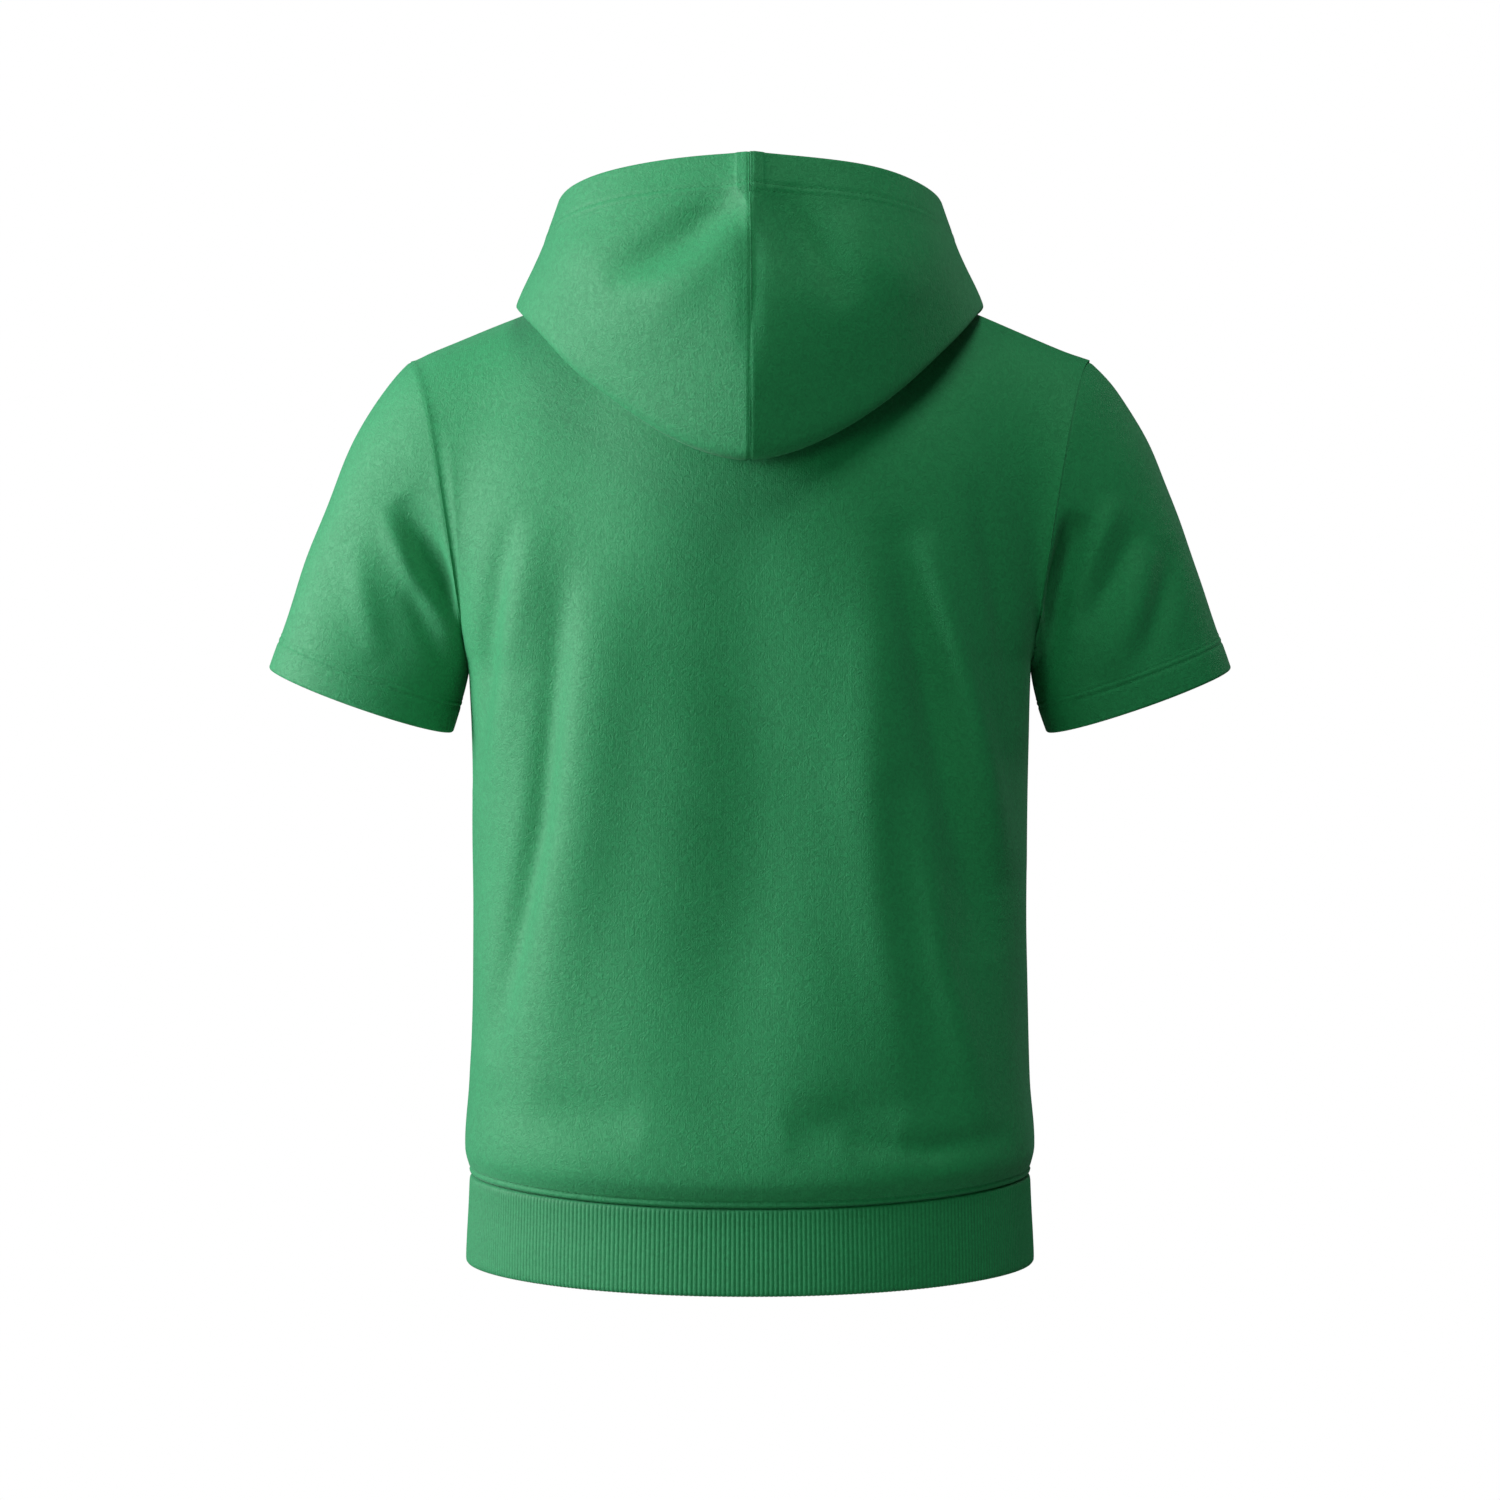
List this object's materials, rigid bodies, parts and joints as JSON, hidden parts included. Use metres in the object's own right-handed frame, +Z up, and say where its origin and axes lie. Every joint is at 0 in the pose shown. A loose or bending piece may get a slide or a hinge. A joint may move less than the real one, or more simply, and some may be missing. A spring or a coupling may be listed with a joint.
{
  "type": "short-sleeved hooded t-shirt",
  "caption": "Short-sleeved hooded pullover top in green brushed jersey, hood down behind the neck, rib band at the hem, held in its worn hollow form.",
  "frame": {"origin": "middle of the neck opening, level with the high points of the two shoulder seams, where the wearer's shoulders hold the garment up", "axes": "+Z up, +X to the wearer's left, -Y to the wearer's front"},
  "size_m": [0.6568, 0.2911, 0.7315],
  "materials": {
    "jersey": "soft brushed knit, matt",
    "rib": "fine vertical rib knit, matt"
  },
  "bodies": {
    "root": {"back_panel": "jersey", "front_panel": "jersey", "sleeve_left": "jersey", "sleeve_right": "jersey", "hood_left": "jersey", "hood_right": "jersey", "waistband": "rib"}
  },
  "joints": []
}
